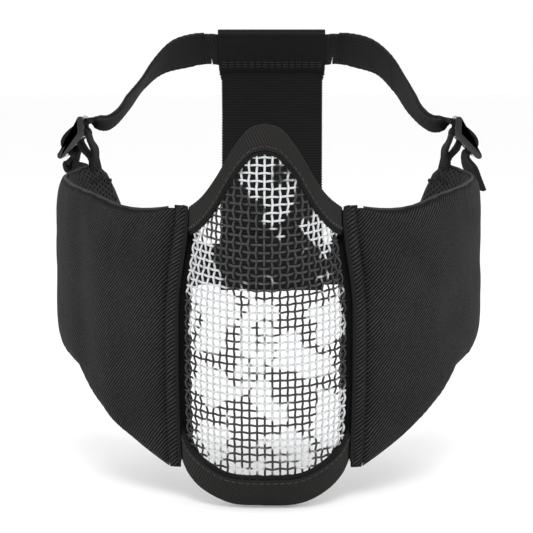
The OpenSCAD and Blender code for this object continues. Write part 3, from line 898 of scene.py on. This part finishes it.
def creased(block, side):
    """A copy of the swollen wing with one side's ripples and creases, still on the left of the face"""
    piece = twin_of(block)
    seed = 4 if side == "left" else 31
    for v in piece.data.vertices:
        s, z, d = wing_place(v.co / mm)
        out = V((math.sin(wing_dir(s)), -math.cos(wing_dir(s)), 0))
        ripple = 0.35 * noise.noise(V((s / 13, z / 13, seed))) + 0.12 * noise.noise(V((s / 4, z / 4, seed)))
        v.co += out * ((ripple - crease_depth(s, z, side)) if d > 0 else 0.4 * ripple) * mm
        v.co = leaned(v.co / mm) * mm
    modify(piece, "SUBSURF", levels=1, render_levels=1)
    return piece


print("creases:", {side: len(lines) for side, lines in creases.items()})


# %% Cut cover and lining
lining_level = -1.2         # the sheet, along the lining's edge, where the skin is cut


def wing_uv(piece):
    """A map that measures the cloth: length along the wing, and height"""
    layer = piece.data.uv_layers.active or piece.data.uv_layers.new(name="cloth")
    for loop in piece.data.loops:
        s, z, _ = wing_place(piece.data.vertices[loop.vertex_index].co / mm)
        layer.data[loop.index].uv = (s * mm, z * mm)


def half_of(block, name, outer):
    """A copy of the skin with only the faces outside or inside the cutting sheet"""
    part = twin_of(block)
    part.name = part.data.name = name
    only(part)
    bpy.ops.object.mode_set(mode="EDIT")
    bpy.ops.mesh.select_mode(type="FACE")
    bpy.ops.mesh.select_all(action="DESELECT")
    bpy.ops.object.mode_set(mode="OBJECT")
    for face in part.data.polygons:
        face.select = (wing_place(face.center / mm)[2] > lining_level) != outer
    bpy.ops.object.mode_set(mode="EDIT")
    bpy.ops.mesh.delete(type="FACE")
    bpy.ops.object.mode_set(mode="OBJECT")
    return part


for side, cover_finish in (("left", cover_left), ("right", cover_right)):
    block = creased(wing, side)
    for label, wall, finish, slot in (("cover", 0.7, cover_finish, "cover_cloth"),
                                      ("lining", 0.8, spacer, "spacer_mesh")):
        part = half_of(block, f"{side}_{label}", label == "cover")
        wing_uv(part)
        modify(part, "SOLIDIFY", thickness=wall * mm, offset=-1)
        smooth(part, 50)
        if side == "right":
            mirror(part)
        finish_piece(part, finish)
        hang(part, f"{side}_wing", f"{side}_wing_{label}")
        label == "cover"
        print(part.name, len(part.data.polygons), "faces")
    bpy.data.objects.remove(block)
bpy.data.objects.remove(wing)

# %% [markdown]
# ## Front edge roll
# Beside the panel each wing ends in a narrow folded edge, a flat strip with a fold at its
# front and a seam at its back. A tube would look like piping, so this is a flattened roll
# whose outline is an oval, with the cover's own twill turned the other way by the fold.

# %% Edge roll
def edge_roll():
    roll_s, half_w, half_t = 3.4, 3.1, 1.2
    low, high = curve(wing_bottom, roll_s) + 1, curve(wing_top, roll_s) + 0.2

    def place(u, v):
        a = TURN * u
        z = low + (high - low) * v
        pinch = 1 - 0.25 * abs(2 * v - 1) ** 8
        s = roll_s + half_w * math.cos(a) * pinch + 0.15 * math.sin(z / 6)
        d = 1.0 + half_t * math.sin(a) * pinch + 0.1 * math.sin(z / 4)
        z -= (0.5 * max(0, s - roll_s) + 0.25 * max(0, roll_s - s)) * v**14
        return leaned(wing_point(s, z, d))

    piece = sheet_on("left_edge_fold", place, 28, 90, (10, high - low))
    only(piece)
    bpy.ops.object.mode_set(mode="EDIT")
    bpy.ops.mesh.select_mode(type="EDGE")
    bpy.ops.mesh.select_all(action="SELECT")
    bpy.ops.mesh.remove_doubles(threshold=0.00005)
    bpy.ops.mesh.select_all(action="DESELECT")
    bpy.ops.mesh.select_non_manifold()
    bpy.ops.mesh.edge_face_add()
    bpy.ops.object.mode_set(mode="OBJECT")
    face_outwards(piece)
    smooth(piece, 60)
    return piece


for side, roll in both_sides(edge_roll()):
    finish_piece(roll, cover_right if side == "left" else cover_left)
    hang(roll, f"{side}_wing", f"{side}_edge_roll")
print("edge rolls made")

# %% [markdown]
# ## Ladder locks
# The buckle is one moulding: two side rails joined by bars, with teeth on the middle bar.
# It could be cut from a block, but building it as it is drawn is simpler. Each rail is an
# outline that is thickened and bevelled, and the bars are bevelled rods between the rails.

# %% Ladder locks
buckle_len, buckle_tilt, rail_t, lock_slot = 20, math.radians(47), 1.8, strap_w + 1.2
tab_s = cheek_len + 0.66 * cup_len
tab_point = wing_point(tab_s, tab_top_z, 0)
lock_at = V((tab_point.x + 8, tab_point.y + 1, tab_top_z + 10.5))
tab_bar, loop_bar = (-buckle_len / 2 + 1, 4.6), (-4.5, 0)
grip_bar, end_bar = (2.2, 0.6), (buckle_len / 2 - 1.7, 0.3)
loop_bar_r, loop_t, loop_w, fit = 1.5, 1.3, strap_w - 1.5, 0.3


def on_lock(length, height, across=0):
    c, s = math.cos(buckle_tilt), math.sin(buckle_tilt)
    return lock_at + V((length * c + height * s, across, height * c - length * s))


def rail_outline(r):
    """Round the end, the bend at the loop bar and the tab, as [length, height]"""
    a, b, c = (V(p) for p in (end_bar, loop_bar, tab_bar))
    to_b, to_c = (b - a).normalized(), (c - b).normalized()
    side_ab, side_bc = V((to_b.y, -to_b.x)), V((to_c.y, -to_c.x))
    def fan(middle, first, turn):
        return [middle + r * (first * math.cos(q) + V((-first.y, first.x)) * math.sin(q))
                for q in [turn * k / 6 for k in range(7)]]
    inner = b - (side_ab + side_bc).normalized() * r / math.cos(side_ab.angle(side_bc) / 2)
    inner_fan = fan(b, side_ab, side_ab.angle_signed(side_bc) * -1)
    return fan(a, -side_ab, math.pi) + inner_fan + fan(c, side_bc, math.pi) + [inner]


def plate(name, outline, at_y, thickness, bevel):
    bpy.ops.mesh.primitive_circle_add(vertices=len(outline), fill_type="NGON")
    piece = bpy.context.active_object
    piece.name = piece.data.name = name
    for vertex, p in zip(piece.data.vertices, outline):
        vertex.co = on_lock(p.x, p.y, at_y) * mm
    modify(piece, "SOLIDIFY", thickness=thickness * mm, offset=0)
    rounded(piece, bevel, 3)
    return piece


half_lock = lock_slot / 2 + rail_t / 2


def rod(at, across_r, up_r, sides=20):
    """A bar from rail to rail, oval in section"""
    turns = [TURN * k / sides for k in range(sides)]
    outline = [V((at[0] + across_r * math.cos(a), at[1] + up_r * math.sin(a))) for a in turns]
    return plate("bar", outline, 0, 2 * half_lock, 0.3)


parts = [plate("rail", rail_outline(1.5), way * half_lock, rail_t, 0.4) for way in (-1, 1)]
parts += [rod(loop_bar, 1.5, 1.5), rod(grip_bar, 1.7, 1.6), rod(end_bar, 1.8, 1.45), rod(tab_bar, 1.55, 1.2)]
tooth = [V((grip_bar[0] + x, height)) for x, height in ((-0.3, 1.9), (0.9, 1.6), (1.1, 2.7))]
parts += [plate("tooth", tooth, -lock_slot / 2 + 2.6 + 2 * k, 0.9, 0.12) for k in range(9)]
lock_left = joined(parts, "left_lock")
face_outwards(lock_left)
smooth(lock_left, 35)
for side, lock in both_sides(lock_left):
    finish_piece(lock, plastic)
    hang(lock, f"{side}_buckle", f"{side}_ladder_lock")
print("locks at", [round(c, 1) for c in lock_at], len(lock_left.data.polygons), "faces each")

# %% [markdown]
# ## Webbing
# Straps are flat elastic webbing. Their route is a list of stations, each a point and the
# direction of the strap's width there, because a strap twists as it goes. The strip is laid
# through the stations, thickened, and its long edges are rounded.

# %% Webbing helper
def webbing_strip(name, stations, width=strap_w, thickness=strap_t, step=1.2, gather=lambda p: 1):
    """Webbing through stations; gather gives the share of its width that is left at a point"""
    crown, look_ahead, weft = 0.12, 0.004, 1.8
    points, widths = [s[0] for s in stations], [s[1] for s in stations]
    lengths = along(points)

    def place(u, v):
        here = pick(points, lengths, v)
        ahead = pick(points, lengths, min(v + look_ahead, 1)) - pick(points, lengths, max(v - look_ahead, 0))
        ahead.normalize()
        w = pick(widths, lengths, v)
        w = (w - ahead * w.dot(ahead)).normalized()
        side = 2 * u - 1
        edge = 0.12 * math.sin(v * lengths[-1] * TURN / weft) if abs(side) > 0.98 else 0
        flat = here + w * side * ((width / 2 - 0.1) * gather(here) + edge)
        return flat + ahead.cross(w) * crown * (1 - side * side)

    piece = sheet_on(name, place, 12, max(8, int(lengths[-1] / step)), (width, lengths[-1]))
    thicken(piece, thickness, 0.3)
    return finish_piece(piece, webbing)


def hinged(piece, side, start, end):
    """Bakes a strap's place into its points; it is not blended between bodies. Its start and end, points of
    the left side in millimetres, are not used
    """
    way = 1 if side == "left" else -1
    start, end = start * mm, end * mm
    way * start.x
    way * end.x
    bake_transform(piece)


hem_tilt = math.radians(48)
hem_along = V((0, -math.sin(hem_tilt), math.cos(hem_tilt)))
hem_out = V((0, math.cos(hem_tilt), math.sin(hem_tilt)))
hem_at = V((0, band_back - 9, band_top_z - 8.5))
hem_depth = strap_w + 4
tunnel_t = strap_t + 0.7
hem_end = V((band_w / 2 + 1, 0, 0))
straight_end = V((band_w / 2 + 9.5, 0, 0))      # the band slides 8 mm each way over straight webbing
tab_along = V((math.cos(wing_dir(tab_s)), math.sin(wing_dir(tab_s)), 0))
across_lock = V((0, -1, 0))
print("hem at", [round(c, 1) for c in hem_at])


# %% Strap loops on the tabs
def strap_loop():
    centre = on_lock(*loop_bar)
    r = loop_bar_r + fit + loop_t / 2
    turns = [math.radians(a) for a in range(200, -21, -10)]
    wrap = [[centre + r * V((math.cos(a), 0, math.sin(a))), V((0, 1, 0))] for a in turns]

    def leg(way, under):
        lie = way * (loop_t / 2 + 0.1)
        low, out = wing_point(tab_s, tab_top_z - 7, lie), wing_point(tab_s, tab_top_z + 1.5, lie)
        bow = V((way, 0, 0))
        return [[low, tab_along], [out, (tab_along + V((0, 2, 0))).normalized()],
                [(out + under) / 2 + bow, (tab_along + V((0, 9, 0))).normalized()],
                [out.lerp(under, 0.8) + 0.3 * bow, V((0, 1, 0))]]

    stations = smoothed(leg(-1, wrap[0][0]) + [wrap[0]], 4)[:-1] + wrap
    stations += smoothed([wrap[-1]] + leg(1, wrap[-1][0])[::-1], 4)[1:]
    return webbing_strip("left_tab_loop", stations, loop_w, loop_t, step=0.9,
                         gather=lambda p: 0.5 + 0.5 * eased(p.z, tab_top_z + 3, tab_top_z + 9))


for side, piece in both_sides(strap_loop()):
    hang(piece, f"{side}_wing", f"{side}_strap_loop")
print("loops made")

# %% [markdown]
# ## Upper strap
# The upper strap runs from one ladder lock, through the band's top hem, to the other, and its
# sides hang between wings and band. It is made in lengths that meet end to end: the middle
# moves with the harness, while the ends and sides stay where they are laid.

# %% Upper strap
lock_in = on_lock(-buckle_len / 2 - 3.2, 0.8)
hem_exit = hem_at + hem_end
# Between hem and lock: the share of the way from lock to hem, out, back and up
run = [V((0.579, 0.801, 0.894)), V((0.411, 0.619, 0.632)), V((0.3, 0.42, 0.33)),
       V((0.19, 0.19, 0.09)), V((0.1, 0.055, 0.012))]
# The direction of the strap's width at each of those; the left side lies flatter to the eye
faces = {"left": [V((-0.15, -0.6, 0.78)), V((-0.12, -0.56, 0.82)), V((-0.12, -0.6, 0.79)),
                  V((-0.16, -0.78, 0.6)), V((-0.08, -0.95, 0.3))],
         "right": [V((-0.28, -0.6, 0.74)), V((-0.33, -0.64, 0.68)), V((-0.34, -0.66, 0.66)),
                   V((-0.26, -0.78, 0.55)), V((-0.12, -0.95, 0.22))]}
threading = [(-buckle_len / 2 - 1, 1.5), (-buckle_len / 2 + 0.8, 2), (-6.8, 3.3), (-4.3, 4.4), (-1.5, 4.8),
             (1, 4.8), (3.2, 4.2), (4.7, 2.8), (5.3, 0.6), (5.2, -2.5)]
# The loose ends: one hangs, the other has curled up on itself
tails = {"left": [V((1.2, 1, -5)), V((3.4, 1.8, -10.5)), V((5.6, 2.4, -16))],
         "right": [V((0.7, 1, -2.5)), V((1.1, 1.2, -5.2)), V((0.1, 1.3, -7.2)), V((-2.2, 1.4, -6.6)),
                   V((-3.4, 1.5, -4))]}


def strap_route(side):
    """Samples from the band's hem to the strap's loose end, six to each length between two stations"""
    tail_from = on_lock(*threading[-1])
    stations = [[hem_exit, hem_along], [hem_at + straight_end, hem_along]]
    for share, face in zip(run, faces[side]):
        stations.append([lock_in + V(a * b for a, b in zip(share, hem_exit - lock_in)), face])
    stations += [[lock_in, across_lock]] + [[on_lock(*p), across_lock] for p in threading]
    stations += [[tail_from + p, V((0.2, -1, 0))] for p in tails[side]]
    return smoothed(stations, 6)


near_hem, split, near_lock, at_lock = 3, 18, 30, 42
routes = {side: strap_route(side) for side in ("left", "right")}
middle = [[flip(p), flip(w)] for p, w in reversed(routes["right"][:near_hem + 1])]
middle += [[hem_at, hem_along]] + routes["left"][:near_hem + 1]
hang(webbing_strip("strap_middle", middle), "harness", "upper_strap")
for side, route in routes.items():
    for name, first, last, step, body, next_body, start_at, end_at in (
            ("end", near_lock, len(route), 0.9, f"{side}_wing", f"{side}_buckle", near_lock, at_lock),
            ("side", split, near_lock + 1, 1.2, "front", f"{side}_wing", split, near_lock),
            ("back", near_hem, split + 1, 1.2, "front", "harness", split, near_hem)):
        piece = webbing_strip(f"{side}_strap_{name}", route[first:last], step=step)
        if side == "right":
            mirror(piece)
        hinged(piece, side, route[start_at][0], route[end_at][0])
    print(side, "upper strap, band to loose end", round(along([p for p, w in route])[-1]), "mm")

# %% Lower strap
low_hem_at = V((0, band_back - 1, -band_drop + 11.5))
low_z = low_hem_at.z
up, back = V((0, 0, 1)), V((0, 1, 0))
seat_s = wing_len - 9


def pad_half(s, z):
    edge = min(s - wing_s0, wing_len - s, z - curve(wing_bottom, s), curve(wing_top, s) - z)
    t = min(max(edge / pad_round, 0), 1)
    return pad_edge_t / 2 + (pad_t - pad_edge_t) / 2 * math.sqrt(1 - (1 - t) ** 2)


lower_off = -pad_half(seat_s, low_z) - strap_t / 2
seat = wing_point(seat_s, low_z + 1, lower_off - 0.7)
seat_end = wing_point(seat_s - 12, low_z + 1, -pad_half(seat_s - 12, low_z) - strap_t / 2 - 0.7)
leave = wing_point(wing_len + 4, low_z + 1, lower_off)
low_stations = [low_hem_at + hem_end, low_hem_at + straight_end,
                0.65 * low_hem_at + 0.35 * leave + V((15.5, 5, 0.5)),
                0.3 * low_hem_at + 0.7 * leave + V((7, 3.5, 0.8)), leave, seat,
                (seat + seat_end) / 2 + V((0.35, 0.5, 0)), seat_end]
low_run = smoothed([[p, up] for p in low_stations], 6)
cut = 15
for side, piece in both_sides(webbing_strip("left_lower_strap", low_run[cut:])):
    hinged(piece, side, low_run[cut][0], leave)
low_middle = [[flip(p), w] for p, w in reversed(low_run[:cut + 1])] + [[low_hem_at, up]] + low_run[:cut + 1]
lower_middle = webbing_strip("lower_strap_middle", low_middle)
(low_run[cut][0] * mm).y
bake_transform(lower_middle)
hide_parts("lower_strap")
print("lower strap, band to sewn end", round(along([p for p, w in low_run])[-1]), "mm on each side")

# %% [markdown]
# ## Back band
# The band is one strip of wide knitted elastic whose ends are folded back into hems for the
# straps. Seen from the side it is a single line: up the inside of the top hem, over, down
# the back, round the bottom hem and up again. The grid follows that line, and its cut edges
# zigzag a little at every rib, as knitted elastic does.

# %% Back band
def band_line():
    """The middle of the elastic, seen from the side"""
    r = (tunnel_t + band_t) / 2
    half = hem_depth / 2 - r
    down_back = [(64, 137.6), (48, 136.6), (30, 135.4), (14, 134.6)]

    def fold(at, axis, out):
        return [at + axis * (half + r * math.sin(a)) - out * r * math.cos(a)
                for a in [math.pi * k / 8 for k in range(9)]]

    line = [hem_at - hem_along * (half + 2) - hem_out * r, hem_at - hem_out * r]
    line += fold(hem_at, hem_along, hem_out)
    line += [hem_at + hem_out * r, hem_at - hem_along * half + hem_out * r]
    line += [V((0, y + 0.4, z)) for z, y in down_back]
    line += [low_hem_at + up * (half - 1) + back * r, low_hem_at + back * r]
    line += fold(low_hem_at, -up, -back)
    return line + [low_hem_at - back * r, low_hem_at + up * (half + 3) - back * r]


def band_piece():
    pairs = smoothed([[p, p] for p in band_line()], 4)
    points = [p for p, _ in pairs]
    lengths = along(points)
    rib = 1.3

    def place(u, v):
        p = pick(points, lengths, v)
        side = 2 * u - 1
        tooth = 0.28 * math.sin(TURN * v * lengths[-1] / rib) if abs(side) > 0.95 else 0
        hem_wide = 0.5 if p.z > hem_at.z - 12 else 0
        bow = -0.5 * side * side if low_hem_at.z + 14 < p.z < hem_at.z - 14 else 0
        return p + V((side * (band_w / 2 - 0.4 + hem_wide + bow) + tooth * side, 0, 0))

    piece = sheet_on("wide_band", place, 40, int(lengths[-1] / 0.42), (band_w, lengths[-1]))
    thicken(piece, band_t - 0.3, 0.3, 1)
    print("band strip", round(lengths[-1]), "mm long,", len(piece.data.polygons), "faces")
    return finish_piece(piece, elastic)


hang(band_piece(), "band", "back_band")


# %% Hem stitches
half_hem = hem_depth / 2
for name, at, axis, out, offsets, node in (
        ("top_hem_rows", hem_at, hem_along, hem_out, (-half_hem + 3, -half_hem + 4.6), "top_hem_stitches"),
        ("bottom_hem_rows", low_hem_at, up, back, (half_hem - 3, half_hem - 4.6), "bottom_hem_stitches"),
        ("inner_hem_rows", hem_at, hem_along, -hem_out,
         (-half_hem + 3, -half_hem + 4.6, -half_hem + 6.2), None)):
    seams = []
    for offset in offsets:
        base = at + axis * offset + out * ((tunnel_t + 2 * band_t) / 2 + 0.05)
        points = [base + V((x, 0, 0)) for x in (-band_w / 2 + 1, 0, band_w / 2 - 1)]
        seams.append(stitch_row("seam", points, [out] * 3, 2.2, 0.9, 0.22, 0.22))
    hang(joined(seams, name), "band", node)
print("hem stitches made")

# %% [markdown]
# ## Bar tacks
# A bar tack is a short, dense zigzag that holds a webbing end. Each is one thread that goes
# back and forth, standing a hair above the cloth.

# %% Bar tacks
def zigzag(centre, along_dir, across_dir, out_dir, length, width, turns=9):
    points = []
    for k in range(2 * turns + 1):
        forward, sideways = length * (k / (2 * turns) - 0.5), width / 2 if k % 2 else -width / 2
        points.append(centre + along_dir * forward + across_dir * sideways + out_dir * 0.1)
    return points


def tack_group(name, places, radius=0.17):
    return finish_piece(tubes(name, [zigzag(*p) for p in places], radius, 1), thread)


def wing_out(s):
    return V((math.sin(wing_dir(s)), -math.cos(wing_dir(s)), 0))


loop_places, lower_places = [], []
for ds in (-5, 0, 5):
    z = tab_top_z - 5.2 - abs(ds) * 0.35
    for way in (1, -1):
        lift = way * (pad_half(tab_s + ds, z) + 0.35)
        loop_places.append((wing_point(tab_s + ds, z, lift), tab_along, up, wing_out(tab_s) * way, 4, 1.4))
seat_along = V((math.cos(wing_dir(seat_s)), math.sin(wing_dir(seat_s)), 0))
for dz in (-7, 0, 7):
    centre = seat - wing_out(seat_s) * (strap_t / 2 + 0.35) + up * dz
    lower_places.append((centre, seat_along, up, -wing_out(seat_s), 5, 1.5))
for label, places, node in (("tab_tacks", loop_places, "loop_tacks"),
                            ("seat_tacks", lower_places, "lower_tacks")):
    left = tack_group(f"left_{label}", places)
    hang(left, "left_wing", f"left_{node}")
    # The copy is hung on the right wing and hides its own side's node
    right = both_sides(left)[1][1]
    hang(right, "right_wing", f"right_{node}")
print("tacks made")

# %% [markdown]
# ## Floor and light
# The mask stands on a wide white floor in white surroundings, as in a light tent. A curved
# paper sweep would also hide the horizon, but from behind the mask it would block the view.
# The tent gives soft grey shade inside the mask; one lamp from the front shapes the cloth.

# %% Floor and light
floor_z = cad_box[0][2] - 0.0005


def floor():
    bpy.ops.mesh.primitive_plane_add(size=60, location=(0, 0, 0))
    piece = bpy.context.active_object
    piece.name = piece.data.name = "floor"
    for vertex in piece.data.vertices:
        vertex.co.z = floor_z
    paint = Paint("pale_floor", Roughness=0.9, Specular_IOR_Level=0.2)
    paint.shader.inputs["Base Color"].default_value = (0.98, 0.98, 0.98, 1)
    piece.data.materials.append(paint.material)


floor()


def lamp(name, azimuth, height, far, size, power):
    """A lamp placed by its direction from the mask: degrees round from the front, and degrees up"""
    a, e = math.radians(azimuth), math.radians(height)
    light = bpy.data.lights.new(name, "AREA")
    light.shape, light.size, light.energy = "SQUARE", size, power
    holder = bpy.data.objects.new(name, light)
    bpy.context.scene.collection.objects.link(holder)
    holder.location = far * V((math.sin(a) * math.cos(e), -math.cos(a) * math.cos(e), math.sin(e)))
    holder.rotation_euler = holder.location.to_track_quat("Z", "Y").to_euler()


lamp("key", 3, 35, 1.5, 0.5, 9.5)
lamp("left_side", 70, 30, 1.2, 0.5, 2)
lamp("right_side", -70, 30, 1.2, 0.5, 2)
world = bpy.data.worlds.new("studio")
bpy.context.scene.world = world
world.use_nodes = True
background = world.node_tree.nodes["Background"]
background.inputs["Color"].default_value = (1, 1, 1, 1)
background.inputs["Strength"].default_value = 1.0
bpy.context.scene.view_settings.view_transform = "Standard"
print("studio ready")
